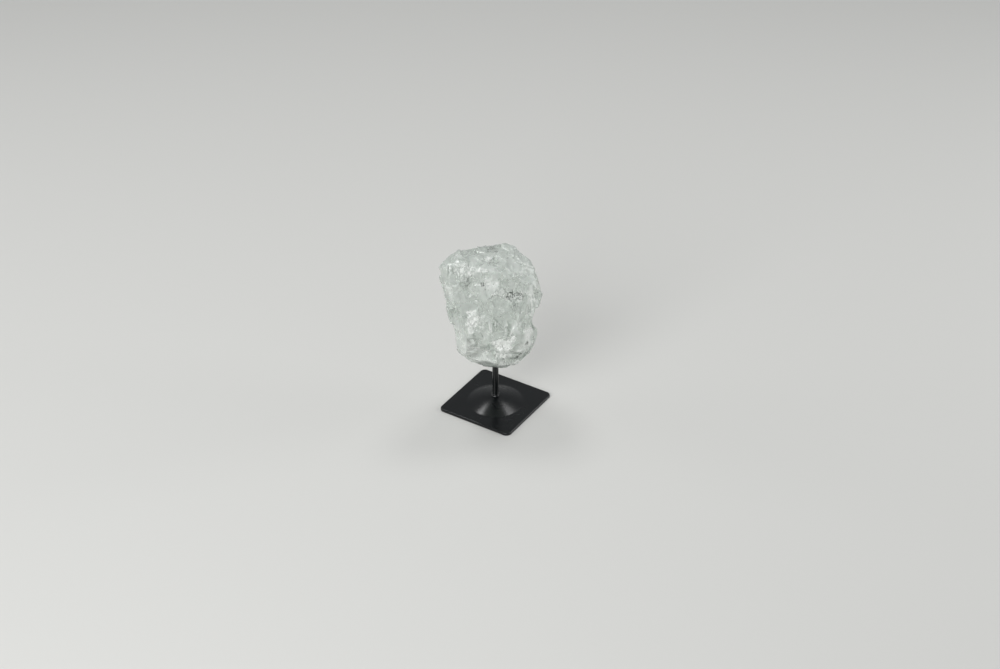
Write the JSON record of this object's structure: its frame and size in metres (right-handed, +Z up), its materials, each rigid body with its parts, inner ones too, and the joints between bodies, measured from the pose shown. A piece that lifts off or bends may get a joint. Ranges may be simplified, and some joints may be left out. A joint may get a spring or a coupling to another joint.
{
  "type": "quartz crystal on stand",
  "caption": "Rough lump of clear, frosted quartz held upright on a thin black steel pin that rises from a square base with a low round dome.",
  "frame": {"origin": "on the pin's axis, at the underside of the base, which is the surface that the stand stands on", "axes": "+Z up along the pin; X and Y along the base's sides; the crystal's broad face looks towards -Y and is turned 32.5 degrees towards +X"},
  "size_m": [0.0625, 0.0657, 0.1304],
  "materials": {
    "quartz": "rough broken quartz, frosted and translucent, glassy on fresh breaks",
    "black_paint": "satin black paint on steel"
  },
  "bodies": {
    "root": {"quartz_crystal": "quartz", "pin": "black_paint", "base_plate": "black_paint"}
  },
  "joints": []
}
